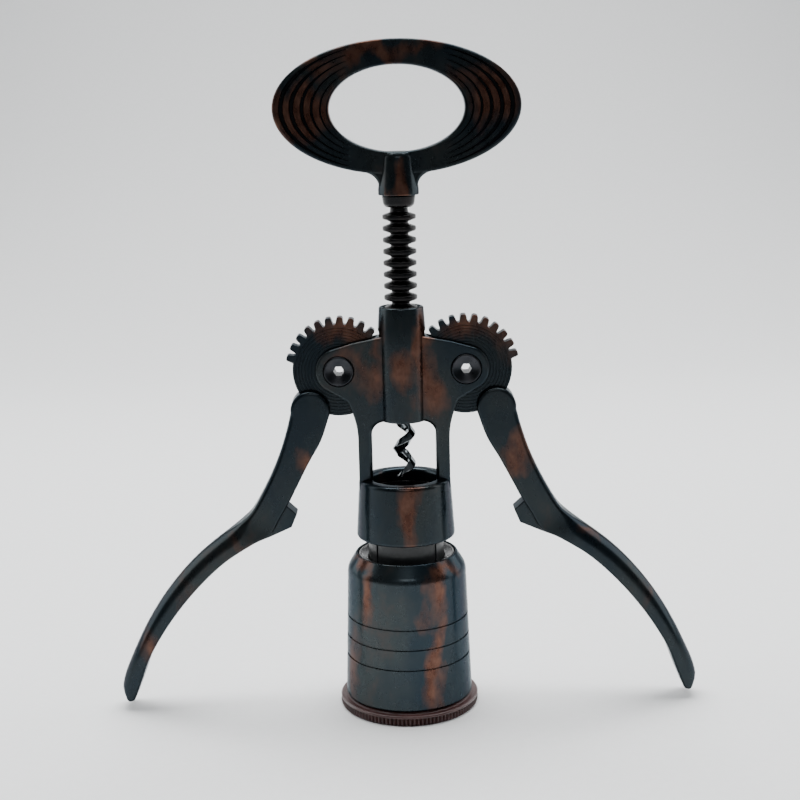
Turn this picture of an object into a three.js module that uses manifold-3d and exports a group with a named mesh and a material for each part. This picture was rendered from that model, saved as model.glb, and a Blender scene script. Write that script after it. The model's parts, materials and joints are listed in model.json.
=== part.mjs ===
// Lever (wing) corkscrew with a self-centring sliding bell.
// Millimetres, +Z up, X across the two levers, Y through the handle's hole.
// Origin: bottom centre, on the surface that the corkscrew stands on.

import * as THREE from 'three';
import { mergeVertices } from 'three/addons/utils/BufferGeometryUtils.js';
import Module from 'manifold-3d';

const wasm = await Module();
wasm.setup();

// ---- driving dimensions -------------------------------------------------

const gap = 0.3;                 // clearance between pieces that touch or slide

// rack and pinion
const gearModule = 1.5;
const gearTeeth = 28;
const flankAngle = 17;           // degrees, rack ring flanks and gear teeth
const backlash = 0.5;            // free play of a tooth in a rack gap
const gearWidth = 5.2;
const rackRadius = 6.85;
const ringDepth = 1.9;           // from the pitch line down to the root of a ring
const rackRings = 17;
const ringsAboveMesh = 14;       // rings above the meshed tooth at rest
const tipHalfWidth = 0.83;       // half the width of a ring at its tip
const rackHead = 3.63;           // plain end above the middle of the highest ring
const toothDrop = 0.84;          // how far below the pivots the meshed tooth sits

// neck and wings of the frame
const neckRise = 26;             // neck's top above the pivots
const neckTaper = 12;            // height over which the neck narrows
const neckWall = 2.9;
const neckTopWall = 2.1;
const cheekWall = 2.65;          // wing on each side of a gear slot
const wingRim = 3.2;             // wing around a screw head
const wingTopSlope = 16.5;       // degrees
const pivotRise = 21.8;          // pivots above the window

// window, columns and collar of the frame
const boreRadius = 14;           // lets a cork through
const windowHeight = 24.8;
const windowCorner = 5;
const columnSetback = 0.2;       // column's outer face inside the collar's top edge
const collarHeight = 25.3;
const collarTopWall = 3;
const collarBottomWall = 4.6;
const collarEdge = 1.4;
const seatLedge = 5.2;           // height of the ledge that stops the bottle's lip

// pivot screws
const screwHeadRadius = 6;
const screwHeadHeight = 1.6;
const screwHeadSink = 1.2;       // how deep the head sits in the wing
const screwBoreRadius = 2.8;
const screwWall = 0.8;
const sleeveWall = 0.9;
const bushWall = 1;
const cheekClearance = 0.35;

// levers
const leverUpperWidth = 12;
const leverLowerWidth = 15;
const leverEdge = 1.6;
const gripEdge = 2.2;
const lugWidth = 6;
const toothCount = 17;

// bottle tube, its stop ring and the spring
const ledgeWidth = 2;            // how far the bottle's lip can rest on the seat ring
const tubeWall = 1;
const tubeClearance = 3.3;       // between the tube's lower end and the liner below it
const fingerSlotWidth = 1;       // four slots make the tube's lower end springy
const fingerSlotAngle = 50;      // degrees from the front and from the back
const fingerSlotCover = 4;       // how far the slots run up inside the collar
const seatRingHeight = 2;
const stopRingHeight = 2.3;
const stopRingWall = 2.9;
const springWire = 1.6;
const springTurns = 4.5;

// bell, guide bush and base ring
const bellHeight = 62.2;
const bellTravel = 6.5;
const travelRest = 0.8;          // gap left between bell and collar at the end of the travel
const bellShoulderDrop = 6.1;
const bellShoulderStep = 3.75;
const bellFootStep = 2;
const bellWall = 3;
const chamberStep = 1;
const bushHeight = 6.3;
const bushWidth = 4.1;
const bushRimWall = 0.75;
const shoulderHeight = 2.2;
const baseStep = 2.5;            // how far the base ring stands out from the bell
const baseHeight = 4.5;
const footGap = 0.9;
const linerHeight = 36.2;
const linerWall = 2.6;

// handle
const handleHalfWidth = 50;
const handleHalfHeight = 26.7;
const handleThickness = 8.6;
const handleEdge = 1.5;
const handleRise = 35;           // handle's centre above the boss's lower end
const fingerDrop = 0.5;
const fingerHalfWidth = 27.3;
const fingerHalfHeight = 17.2;
const bossStep = 1.45;           // boss outside the collar of the spindle
const bossStraight = 4.6;
const bossTopHalfWidth = 5.8;

// spindle, its collar and the worm
const spindleRadius = 2.2;
const spindleDepth = 12;         // how far the spindle goes up into the boss
const crossPinRadius = 1.3;
const thrustHeight = 4.9;
const socketRadius = 5.4;
const socketHeight = 6;
const wormOuterRadius = 4.9;
const wormWire = 2.5;
const wormHeadRadius = 2.6;
const wormPitch = 13;
const wormTipDrop = 0.1;         // worm's tip below the collar's top
const lockPinRadius = 0.8;

// ---- values worked out from them ----------------------------------------

const pitchRadius = gearModule * gearTeeth / 2;
const ringPitch = Math.PI * gearModule;
const rackPitchRadius = rackRadius - gearModule + 0.05;
const rackRootRadius = rackPitchRadius - ringDepth;
const pivotX = pitchRadius + rackPitchRadius;
const gearTipRadius = pitchRadius + 0.87 * gearModule;
const gearRootRadius = pitchRadius - 1.25 * gearModule;
const slotRadius = gearTipRadius + 3 * gap;
const slotWidth = gearWidth + 2 * cheekClearance;
const rackBore = rackRadius + gap;
const neckRadius = rackBore + neckWall;
const neckTopRadius = rackBore + neckTopWall;
const wingThickness = slotWidth + 2 * cheekWall;
const wingEndRadius = screwHeadRadius + gap + wingRim;
const flankSlope = Math.tan(THREE.MathUtils.degToRad(flankAngle));
const sleeveBore = spindleRadius + gap;

// radii from the bottle's bore outwards
const tubeRadius = boreRadius + ledgeWidth;
const collarBore = tubeRadius + gap;
const collarTopRadius = collarBore + collarTopWall;
const collarBottomRadius = collarBore + collarBottomWall;
const columnOuter = collarTopRadius - columnSetback;
const bushInner = tubeRadius + gap;
const bushOuterRadius = bushInner + bushWidth;
const stopRingOuter = bushInner + stopRingWall;
const springRadius = (bushInner + stopRingOuter) / 2;
const bellBore = bushOuterRadius + gap;
const bellRimRadius = bellBore + bushRimWall;
const bellShoulderRadius = bellRimRadius + bellShoulderStep;
const bellFootRadius = bellShoulderRadius + bellFootStep;
const linerOuter = bellFootRadius - bellWall - chamberStep - gap;
const baseRadius = bellFootRadius + baseStep;

// radii of the pivot pieces from the screw's bore outwards
const shankRadius = screwBoreRadius + screwWall;
const sleeveInner = shankRadius + gap;
const sleeveOuter = sleeveInner + sleeveWall;
const cheekBore = sleeveOuter + gap;
const bushOuter = cheekBore + bushWall;
const leverBore = bushOuter + gap;

// heights from the ground up
const bellBottom = baseHeight + footGap;
const linerTop = baseHeight + linerHeight;
const bellTop = bellBottom + bellHeight;
const bellShoulderHeight = bellTop - bellShoulderDrop;
const bushTop = bellTop - gap;
const bushBottom = bushTop - bushHeight;
const stopRingTop = bushBottom - gap;
const stopRingBottom = stopRingTop - stopRingHeight;
const springTop = stopRingBottom - gap;
const springBottom = linerTop + gap;
const tubeBottom = linerTop + tubeClearance;
const collarBottom = bellTop + bellTravel + travelRest;
const collarTop = collarBottom + collarHeight;
const ledgeHeight = collarTop - seatLedge;
const tubeTop = ledgeHeight - seatRingHeight - 2 * gap;
const windowTop = collarTop + windowHeight;
const pivotHeight = windowTop + pivotRise;
const neckTop = pivotHeight + neckRise;
const neckTaperStart = neckTop - neckTaper;

// heights of the rack, the worm and the handle
const meshHeight = pivotHeight - toothDrop;
const highestRing = meshHeight + (ringsAboveMesh - 0.5) * ringPitch;
const lowestRing = highestRing - (rackRings - 1) * ringPitch;
const rackTop = highestRing + rackHead;
const rackBottom = lowestRing - ringPitch / 2 - 0.2;
const bossRadius = rackRadius + bossStep;
const bossBottom = rackTop + gap + thrustHeight;
const handleCentre = bossBottom + handleRise;
const fingerCentre = handleCentre - fingerDrop;
const pinHeight = bossBottom + bossStraight - 0.6;
const socketTop = rackBottom - gap;
const socketBottom = socketTop - socketHeight;
const wormRadius = wormOuterRadius - wormWire / 2;
const wormTip = collarTop - wormTipDrop;
const lockPinHeight = socketTop - 1.9;

// ---- geometry helpers ----------------------------------------------------

const degrees = THREE.MathUtils.degToRad;
const point = (x, y) => new THREE.Vector2(x, y);

function bare(geometry) {
  const copy = geometry.clone();
  copy.deleteAttribute('normal');
  copy.deleteAttribute('uv');
  return mergeVertices(copy, 1e-4);
}

function toSolid(geometry) {
  const merged = bare(geometry);
  return new wasm.Manifold(new wasm.Mesh({
    numProp: 3,
    vertProperties: new Float32Array(merged.attributes.position.array),
    triVerts: new Uint32Array(merged.index.array),
  }));
}

function toGeometry(solid) {
  const mesh = solid.getMesh();
  const geometry = new THREE.BufferGeometry();
  geometry.setAttribute('position', new THREE.BufferAttribute(mesh.vertProperties, 3));
  geometry.setIndex(new THREE.BufferAttribute(mesh.triVerts, 1));
  return geometry;
}

// A turned piece about Z: the profile is [radius, height] pairs, closed on itself or on the axis.
function turned(profile, segments = 40) {
  const points = profile.map(([radius, height]) => point(radius, height));
  if (profile[0][0] > 0) points.push(points[0].clone());
  const area = THREE.ShapeUtils.area(points);
  if (area < 0) points.reverse();
  return new THREE.LatheGeometry(points, segments).rotateX(Math.PI / 2);
}

// A tube-like ring with square edges between two radii and two heights.
function ring(inner, outer, low, high, segments = 32) {
  return turned([[inner, low], [outer, low], [outer, high], [inner, high]], segments);
}

function rod(radius, low, high, segments = 24) {
  return turned([[0, low], [radius, low], [radius, high], [0, high]], segments);
}

// Lays a piece made about Z along Y, with its top towards the viewer's side (-Y).
function alongY(geometry) {
  return geometry.rotateX(Math.PI / 2);
}

// Extrudes an XZ outline through Y, centred on Y = 0, with an optional rounded edge.
function plate(shape, thickness, edge = 0, edgeSteps = 2, curveSteps = 8) {
  const geometry = new THREE.ExtrudeGeometry(shape, {
    depth: thickness - 2 * edge,
    bevelEnabled: edge > 0,
    bevelThickness: edge,
    bevelSize: edge,
    bevelOffset: -edge,
    bevelSegments: edgeSteps,
    curveSegments: curveSteps,
    steps: 1,
  });
  return geometry.translate(0, 0, edge - thickness / 2).rotateX(Math.PI / 2);
}

function circle(x, z, radius) {
  const shape = new THREE.Shape();
  shape.absarc(x, z, radius, 0, 2 * Math.PI, false);
  return shape;
}

function ellipse(z, halfWidth, halfHeight) {
  const shape = new THREE.Shape();
  shape.absellipse(0, z, halfWidth, halfHeight, 0, 2 * Math.PI, false);
  return shape;
}

// ---- frame: neck, wings, columns and collar in one casting ----------------

// The right half of the wing outline: over the neck, round the pivot and down the column.
function wingShape() {
  const slope = degrees(wingTopSlope);
  const topX = pivotX + wingEndRadius * Math.sin(slope);
  const topZ = pivotHeight + wingEndRadius * Math.cos(slope);
  const neckZ = topZ + topX * Math.tan(slope);
  const underAngle = degrees(-130);
  const underX = pivotX + wingEndRadius * 0.86 * Math.cos(underAngle);
  const underZ = pivotHeight + wingEndRadius * 0.86 * Math.sin(underAngle);
  const shape = new THREE.Shape();
  shape.moveTo(0, neckZ);
  shape.lineTo(topX, topZ);
  shape.absarc(pivotX, pivotHeight, wingEndRadius, Math.PI / 2 - slope, degrees(-50), true);
  shape.quadraticCurveTo(pivotX + 1.5, pivotHeight - 9.3, underX + 2, underZ - 4.5);
  shape.quadraticCurveTo(columnOuter + 0.1, pivotHeight - 21, columnOuter, windowTop - 7);
  shape.lineTo(columnOuter, collarTop - 4);
  shape.lineTo(0, collarTop - 4);
  return shape;
}

function windowShape() {
  const shape = new THREE.Shape();
  shape.moveTo(-boreRadius, collarTop - 5);
  shape.lineTo(boreRadius, collarTop - 5);
  shape.lineTo(boreRadius, windowTop - windowCorner);
  shape.absarc(boreRadius - windowCorner, windowTop - windowCorner, windowCorner, 0, Math.PI / 2, false);
  shape.lineTo(windowCorner - boreRadius, windowTop);
  shape.absarc(windowCorner - boreRadius, windowTop - windowCorner, windowCorner,
    Math.PI / 2, Math.PI, false);
  return shape;
}

function frameGeometry() {
  const wing = toSolid(plate(wingShape(), wingThickness, 1, 1));
  const otherWing = wing.rotate([0, 0, 180]);
  const neck = toSolid(turned([
    [0, windowTop - 1], [neckRadius, windowTop - 1], [neckRadius, neckTaperStart],
    [neckTopRadius, neckTop - 1.2], [neckTopRadius - 1, neckTop], [0, neckTop],
  ], 36));
  const collar = toSolid(turned([
    [0, collarBottom], [collarBottomRadius - collarEdge, collarBottom],
    [collarBottomRadius, collarBottom + collarEdge],
    [collarTopRadius, collarTop - collarEdge], [collarTopRadius - collarEdge, collarTop],
    [0, collarTop],
  ], 48));
  const windowCut = toSolid(plate(windowShape(), 4 * collarBottomRadius, 0, 1, 5));
  const cuts = [
    toSolid(rod(rackBore, windowTop - 2, neckTop + 1, 32)),
    toSolid(turned([[0, neckTop - 1], [rackBore, neckTop - 1],
      [rackBore + 1.4, neckTop + 0.4], [0, neckTop + 0.4]], 32)),
    toSolid(rod(boreRadius, ledgeHeight - 1, collarTop + 1)),
    toSolid(turned([[0, collarTop - 1], [boreRadius, collarTop - 1],
      [boreRadius + 1.2, collarTop + 0.2], [0, collarTop + 0.2]], 24)),
    toSolid(rod(collarBore, collarBottom - 1, ledgeHeight, 36)),
  ];
  for (const side of [-1, 1]) {
    const x = side * pivotX;
    cuts.push(toSolid(plate(circle(x, pivotHeight, slotRadius), slotWidth, 0, 1, 18)));
    cuts.push(toSolid(plate(circle(x, pivotHeight, cheekBore), 2 * wingThickness, 0, 1, 12)));
    const counterbore = plate(circle(x, pivotHeight, screwHeadRadius + gap), 2 * screwHeadSink, 0, 1, 14);
    for (const face of [-1, 1]) {
      cuts.push(toSolid(counterbore.clone().translate(0, face * wingThickness / 2, 0)));
    }
  }
  let solid = wing.add(otherWing).add(neck).subtract(windowCut).add(collar);
  for (const cut of cuts) solid = solid.subtract(cut);
  return toGeometry(solid);
}

// ---- levers: pinion and arm in one casting --------------------------------

// Half the thickness angle of an involute tooth at a radius, for the rack's flank angle.
function toothHalfAngle(radius) {
  const base = pitchRadius * Math.cos(degrees(flankAngle));
  const involute = (r) => {
    const angle = Math.acos(Math.min(1, base / r));
    return Math.tan(angle) - angle;
  };
  const ringWidth = 2 * (tipHalfWidth + (rackRadius - rackPitchRadius) * flankSlope);
  const toothWidth = ringPitch - ringWidth - backlash;
  return toothWidth / (2 * pitchRadius) + involute(pitchRadius) - involute(Math.max(radius, base));
}

// Pinion outline about the pivot: teeth from the outer side, over the top, to below the rack.
function gearShape() {
  const step = 2 * Math.PI / gearTeeth;
  const meshed = Math.PI + Math.asin(toothDrop / pitchRadius);
  const lastTooth = meshed + 3 * step;
  const shape = new THREE.Shape();
  const tipEdge = gearTipRadius - 0.3;
  const reach = (radius, angle) => [radius * Math.cos(angle), radius * Math.sin(angle)];
  const firstTooth = lastTooth - (toothCount - 1) * step;
  shape.moveTo(...reach(gearRootRadius, firstTooth - step / 2));
  for (let tooth = 0; tooth < toothCount; tooth += 1) {
    const middle = firstTooth + tooth * step;
    const sides = [gearRootRadius, pitchRadius, tipEdge].map(
      (radius) => [radius, toothHalfAngle(radius)]);
    sides.forEach(([radius, half]) => shape.lineTo(...reach(radius, middle - half)));
    shape.lineTo(...reach(gearTipRadius, middle - 0.008));
    shape.lineTo(...reach(gearTipRadius, middle + 0.008));
    sides.reverse().forEach(([radius, half]) => shape.lineTo(...reach(radius, middle + half)));
  }
  shape.absarc(0, 0, gearRootRadius, lastTooth + step / 2, firstTooth - step / 2 + 2 * Math.PI, false);
  return shape;
}

// Arm outline about the pivot for the right lever: x outward, y up.
function armShape() {
  const shape = new THREE.Shape();
  shape.moveTo(4.2, -17.9);
  shape.splineThru([point(13, -37.8), point(22, -55.2)]);
  shape.lineTo(31, -69.6);
  shape.splineThru([point(43.8, -76.4), point(63, -92.4), point(80, -114.8), point(88.2, -132)]);
  shape.absarc(93.8, -138.4, 4.3, degrees(190), degrees(375), false);
  shape.splineThru([point(86.6, -110), point(70.6, -87), point(49.1, -68.2)]);
  shape.quadraticCurveTo(40.5, -62.6, 37.2, -57.6);
  shape.splineThru([point(26.8, -37.4), point(20.9, -20.2)]);
  shape.quadraticCurveTo(20.9, -12.8, 15.8, -9);
  shape.quadraticCurveTo(7.4, -6.9, 4.2, -17.9);
  return shape;
}

// The stop on the arm's inner side, which meets the collar when the levers are closed.
function lugShape() {
  const shape = new THREE.Shape();
  shape.moveTo(22, -53.5);
  shape.lineTo(19.2, -60);
  shape.lineTo(21.7, -65.9);
  shape.lineTo(31.5, -70.5);
  shape.lineTo(34, -62);
  shape.closePath();
  return shape;
}

// A thick block over the lower arm only, for the wider grip.
function gripZone() {
  const shape = new THREE.Shape();
  shape.moveTo(36, -52);
  shape.lineTo(28, -76);
  shape.lineTo(84, -152);
  shape.lineTo(112, -152);
  shape.lineTo(112, -110);
  shape.closePath();
  return shape;
}

function leverGeometry(side) {
  const arm = plate(armShape(), leverUpperWidth, leverEdge, 1, 3);
  const grip = toSolid(plate(armShape(), leverLowerWidth, gripEdge, 1, 3))
    .intersect(toSolid(plate(gripZone(), 2 * leverLowerWidth)));
  const slots = plate(circle(0, 0, wingEndRadius + 4 * gap), leverUpperWidth + 2);
  const hub = toSolid(plate(gearShape(), gearWidth, 0, 1, 24));
  const solid = toSolid(arm)
    .subtract(toSolid(slots))
    .add(grip)
    .add(toSolid(plate(lugShape(), lugWidth)))
    .add(hub)
    .subtract(toSolid(plate(circle(0, 0, leverBore), 2 * gearWidth, 0, 1, 16)));
  const geometry = toGeometry(side > 0 ? solid : solid.rotate([0, 0, 180]));
  return geometry;
}

// ---- pivot screws ----------------------------------------------------------

// Hexagonal hole through the whole screw, made about Z.
function hexRod(radius, low, high) {
  return rod(radius, low, high, 6);
}

function pivotScrewGeometry() {
  const face = wingThickness / 2 - screwHeadSink;
  const head = turned([
    [0, face + gap], [screwHeadRadius, face + gap], [screwHeadRadius, face + screwHeadHeight - 0.4],
    [screwHeadRadius - 0.6, face + screwHeadHeight], [screwBoreRadius + 0.9, face + 0.9],
    [0, face + 0.9],
  ], 28);
  const shank = rod(shankRadius, 1 - face, face + gap + 0.2, 24);
  const bore = hexRod(screwBoreRadius, -face, face + screwHeadHeight + 1);
  return alongY(toGeometry(toSolid(head).add(toSolid(shank)).subtract(toSolid(bore))));
}

function pivotNutGeometry() {
  const face = wingThickness / 2 - screwHeadSink;
  const head = turned([
    [0, -face - gap], [screwHeadRadius, -face - gap], [screwHeadRadius, 0.4 - face - screwHeadHeight],
    [screwHeadRadius - 0.6, -face - screwHeadHeight], [0, -face - screwHeadHeight],
  ], 28);
  const sleeve = rod(sleeveOuter, -face - gap - 0.2, face, 24);
  const inner = rod(sleeveInner, 1 - face - gap, face + 1, 24);
  const bore = hexRod(screwBoreRadius, -face - screwHeadHeight - 1, 2 - face);
  return alongY(toGeometry(
    toSolid(head).add(toSolid(sleeve)).subtract(toSolid(inner)).subtract(toSolid(bore))));
}

function pivotBushGeometry() {
  return alongY(ring(cheekBore, bushOuter, -gearWidth / 2, gearWidth / 2, 24));
}

// ---- rack, spindle, worm -----------------------------------------------------

function rackGeometry() {
  const profile = [[sleeveBore, rackBottom], [rackRootRadius, rackBottom]];
  const rootHalfWidth = tipHalfWidth + (rackRadius - rackRootRadius) * flankSlope;
  for (let index = 0; index < rackRings; index += 1) {
    const middle = lowestRing + index * ringPitch;
    profile.push([rackRootRadius, middle - rootHalfWidth]);
    profile.push([rackRadius, middle - tipHalfWidth]);
    profile.push([rackRadius, middle + tipHalfWidth]);
    profile.push([rackRootRadius, middle + rootHalfWidth]);
  }
  profile.push([rackRootRadius, rackTop], [sleeveBore, rackTop]);
  return turned(profile, 18);
}

function spindleGeometry() {
  const rodSolid = toSolid(rod(spindleRadius, socketBottom + gap + 1.5, bossBottom + spindleDepth, 20));
  const collar = toSolid(turned([
    [0, bossBottom - thrustHeight], [rackRadius - 0.8, bossBottom - thrustHeight],
    [rackRadius, bossBottom - thrustHeight + 0.8], [rackRadius, bossBottom - gap],
    [0, bossBottom - gap],
  ], 32));
  const holes = toSolid(crossPin(gap)).add(toSolid(lockPin(gap)));
  return toGeometry(rodSolid.add(collar).subtract(holes));
}

// Pin through the handle's boss and the spindle, along X; play widens it for its own hole.
function crossPin(play) {
  const reach = bossRadius - 0.35 + 10 * play;
  return rod(crossPinRadius + play, -reach, reach, 12).rotateY(Math.PI / 2).translate(0, 0, pinHeight);
}

// Pin through the socket and the spindle, along Y; play widens it for its own hole.
function lockPin(play) {
  const reach = socketRadius - gap + 10 * play;
  return rod(lockPinRadius + play, -reach, reach, 10).rotateX(Math.PI / 2).translate(0, 0, lockPinHeight);
}

// Helix that the middle of the worm's wire follows, right-handed, from the tip up.
class Helix extends THREE.Curve {
  constructor(radius, pitch, low, turns, startAngle) {
    super();
    Object.assign(this, { radius, pitch, low, turns, startAngle });
  }

  getPoint(t, target = new THREE.Vector3()) {
    const angle = this.startAngle + t * this.turns * 2 * Math.PI;
    const height = this.low + t * this.turns * this.pitch;
    return target.set(this.radius * Math.cos(angle), this.radius * Math.sin(angle), height);
  }
}

function sweep(curve, radius, sides, steps) {
  const section = new THREE.Shape();
  for (let side = 0; side < sides; side += 1) {
    const angle = side * 2 * Math.PI / sides;
    const place = [radius * Math.cos(angle), radius * Math.sin(angle)];
    if (side === 0) section.moveTo(...place);
    else section.lineTo(...place);
  }
  section.closePath();
  return new THREE.ExtrudeGeometry(section, { extrudePath: curve, steps, bevelEnabled: false });
}

function wormGeometry() {
  const low = wormTip + wormWire * 0.35;
  const turns = (socketBottom + 1 - low) / wormPitch;
  const coil = new Helix(wormRadius, wormPitch, low, turns, degrees(-148));
  const wire = toSolid(sweep(coil, wormWire / 2, 6, Math.round(turns * 18)));
  const head = toSolid(rod(socketRadius - 1.6, socketBottom - 1.2, socketBottom - gap, 16));
  const stem = toSolid(rod(wormHeadRadius, socketBottom - 1.5, socketBottom + 1.2, 16));
  const trimmed = wire.trimByPlane([0, 0, -1], -(socketBottom - 0.6));
  return toGeometry(trimmed.add(head).add(stem));
}

// Cup that clamps the worm to the spindle and carries the rack's lower end.
function socketGeometry() {
  const body = toSolid(turned([
    [0, socketBottom], [socketRadius - 0.8, socketBottom], [socketRadius, socketBottom + 0.8],
    [socketRadius, socketTop], [0, socketTop],
  ], 28));
  const upper = toSolid(rod(sleeveBore, socketBottom + 1.5, socketTop + 1, 20));
  const lower = toSolid(rod(wormHeadRadius + gap, socketBottom - 1, socketBottom + 1.6, 20));
  return toGeometry(body.subtract(upper).subtract(lower).subtract(toSolid(lockPin(gap))));
}

// ---- handle --------------------------------------------------------------------

function handleGeometry() {
  const body = toSolid(plate(ellipse(handleCentre, handleHalfWidth, handleHalfHeight),
    handleThickness, handleEdge, 1, 26));
  const finger = toSolid(plate(ellipse(fingerCentre, fingerHalfWidth, fingerHalfHeight),
    2 * handleThickness, 0, 1, 22));
  const boss = toSolid(turned([
    [0, bossBottom], [bossRadius - 0.8, bossBottom], [bossRadius, bossBottom + 0.8],
    [bossRadius, bossBottom + bossStraight],
    [bossTopHalfWidth, fingerCentre - fingerHalfHeight], [0, fingerCentre - fingerHalfHeight],
  ], 32));
  const socket = toSolid(rod(sleeveBore, bossBottom - 1, bossBottom + spindleDepth + gap, 20));
  return toGeometry(body.add(boss).subtract(finger).subtract(socket).subtract(toSolid(crossPin(gap))));
}

// ---- bottle tube, bell and base ------------------------------------------------

function tubeGeometry() {
  const height = collarBottom + fingerSlotCover - tubeBottom + 1;
  let tube = toSolid(ring(tubeRadius - tubeWall, tubeRadius, tubeBottom, tubeTop));
  for (const angle of [90 - fingerSlotAngle, 90 + fingerSlotAngle]) {
    const slot = new THREE.BoxGeometry(3 * tubeRadius, fingerSlotWidth, height);
    slot.rotateZ(degrees(angle)).translate(0, 0, tubeBottom - 1 + height / 2);
    tube = tube.subtract(toSolid(slot));
  }
  return toGeometry(tube);
}

function bellGeometry() {
  const chamber = linerOuter + gap;
  const flangeTop = bushBottom - gap;
  const flangeBottom = flangeTop - shoulderHeight;
  const flangeInner = stopRingOuter + gap;
  return turned([
    [bellBore, bellTop], [bellBore, flangeTop], [flangeInner, flangeTop],
    [flangeInner, flangeBottom], [chamber, flangeBottom - 1.5], [chamber, bellBottom],
    [bellFootRadius - 0.6, bellBottom], [bellFootRadius, bellBottom + 0.6],
    [bellShoulderRadius, bellShoulderHeight], [bellRimRadius, bellTop],
  ], 44);
}

function baseRingGeometry() {
  return turned([
    [linerOuter - linerWall + 2, 0], [baseRadius - 0.8, 0], [baseRadius, 0.8],
    [baseRadius, baseHeight - 0.8], [baseRadius - 0.8, baseHeight], [bellFootRadius, baseHeight],
    [bellFootRadius - 0.8, bellBottom - gap], [linerOuter, bellBottom - gap], [linerOuter, linerTop],
    [bushInner, linerTop], [bushInner, linerTop - 4], [linerOuter - linerWall, linerTop - 10],
    [linerOuter - linerWall, 8],
  ], 40);
}

function springGeometry() {
  const low = springBottom + springWire / 2;
  const pitch = (springTop - springBottom - springWire) / springTurns;
  const coil = new Helix(springRadius, pitch, low, springTurns, 0);
  return sweep(coil, springWire / 2, 6, Math.round(springTurns * 14));
}

// ---- materials -------------------------------------------------------------------

const finishes = {
  patina: { color: 0x23303a, roughness: 0.24, metalness: 0.9 },
  darkSteel: { color: 0x26282b, roughness: 0.35, metalness: 0.95 },
  brightSteel: { color: 0xb9bcc0, roughness: 0.15, metalness: 1 },
  blackPlastic: { color: 0x101113, roughness: 0.3, metalness: 0 },
  brownPlastic: { color: 0x3a2222, roughness: 0.45, metalness: 0 },
  bronze: { color: 0x8c6a3c, roughness: 0.4, metalness: 0.9 },
};

function piece(name, finish, geometry) {
  const mesh = new THREE.Mesh(geometry, new THREE.MeshStandardMaterial(finishes[finish]));
  mesh.name = name;
  return mesh;
}

// ---- assembly ----------------------------------------------------------------------

const corkscrew = new THREE.Group();

corkscrew.add(
  piece('frame', 'patina', frameGeometry()),
  piece('bottle_seat_ring', 'blackPlastic',
    ring(boreRadius + 0.4, tubeRadius, ledgeHeight - gap - seatRingHeight, ledgeHeight - gap)),
  piece('bottle_tube', 'darkSteel', tubeGeometry()),
  piece('bell_stop_ring', 'darkSteel', ring(bushInner, stopRingOuter, stopRingBottom, stopRingTop)),
  piece('bell_spring', 'brightSteel', springGeometry()),
  piece('bell', 'patina', bellGeometry()),
  piece('bell_guide_bush', 'blackPlastic', ring(bushInner, bushOuterRadius, bushBottom, bushTop)),
  piece('bell_base_ring', 'brownPlastic', baseRingGeometry()),
  piece('rack_sleeve', 'darkSteel', rackGeometry()),
  piece('spindle', 'darkSteel', spindleGeometry()),
  piece('handle', 'patina', handleGeometry()),
  piece('handle_cross_pin', 'darkSteel', crossPin(0)),
  piece('worm_socket', 'darkSteel', socketGeometry()),
  piece('worm', 'brightSteel', wormGeometry()),
  piece('worm_lock_pin', 'brightSteel', lockPin(0)),
);

for (const [name, side] of [['left', -1], ['right', 1]]) {
  const pivot = new THREE.Group();
  pivot.position.set(side * pivotX, 0, pivotHeight);
  pivot.add(
    piece(`${name}_lever`, 'patina', leverGeometry(side)),
    piece(`${name}_pivot_screw`, 'darkSteel', pivotScrewGeometry()),
    piece(`${name}_pivot_nut`, 'darkSteel', pivotNutGeometry()),
    piece(`${name}_pivot_bush`, 'bronze', pivotBushGeometry()),
  );
  corkscrew.add(pivot);
}

export default corkscrew;
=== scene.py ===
"""Looks of a lever corkscrew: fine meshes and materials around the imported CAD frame.

Lengths in the builders are millimetres, as on a drawing; objects are made in metres.
"""
import json
import math

import bmesh
import bpy
from mathutils import Matrix, Vector


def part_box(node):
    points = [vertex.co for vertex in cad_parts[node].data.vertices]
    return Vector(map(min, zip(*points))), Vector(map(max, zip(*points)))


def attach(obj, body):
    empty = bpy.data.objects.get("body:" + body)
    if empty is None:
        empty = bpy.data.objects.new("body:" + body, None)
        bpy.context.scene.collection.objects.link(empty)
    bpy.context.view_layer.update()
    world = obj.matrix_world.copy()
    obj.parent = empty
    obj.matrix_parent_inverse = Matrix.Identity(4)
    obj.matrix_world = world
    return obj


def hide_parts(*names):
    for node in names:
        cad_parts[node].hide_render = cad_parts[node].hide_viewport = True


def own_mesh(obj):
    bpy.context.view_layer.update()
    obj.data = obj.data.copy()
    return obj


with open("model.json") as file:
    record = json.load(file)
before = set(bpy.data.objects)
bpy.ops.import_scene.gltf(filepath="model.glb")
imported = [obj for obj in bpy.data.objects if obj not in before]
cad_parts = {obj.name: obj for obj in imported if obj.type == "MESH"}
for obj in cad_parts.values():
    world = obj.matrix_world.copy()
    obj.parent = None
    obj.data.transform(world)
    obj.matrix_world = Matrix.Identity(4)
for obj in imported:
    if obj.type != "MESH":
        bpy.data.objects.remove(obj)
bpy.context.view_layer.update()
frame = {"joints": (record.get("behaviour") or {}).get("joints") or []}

MM = 0.001


# ---- camera --------------------------------------------------

CAMERA_PLACE = (-0.0013, -0.594, 0.2562)
CAMERA_LENS = 65.25
LOOKING_DOWN = 11.7
CAMERA_ROLL = -1.3


def make_camera():
    data = bpy.data.cameras.new("camera")
    data.lens = CAMERA_LENS
    data.sensor_width = 36.0
    data.clip_start = 0.01
    camera = bpy.data.objects.new("camera", data)
    bpy.context.scene.collection.objects.link(camera)
    camera.matrix_world = (
        Matrix.Translation(CAMERA_PLACE)
        @ Matrix.Rotation(math.radians(90 - LOOKING_DOWN), 4, "X")
        @ Matrix.Rotation(math.radians(CAMERA_ROLL), 4, "Z")
    )
    bpy.context.scene.camera = camera


make_camera()


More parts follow.
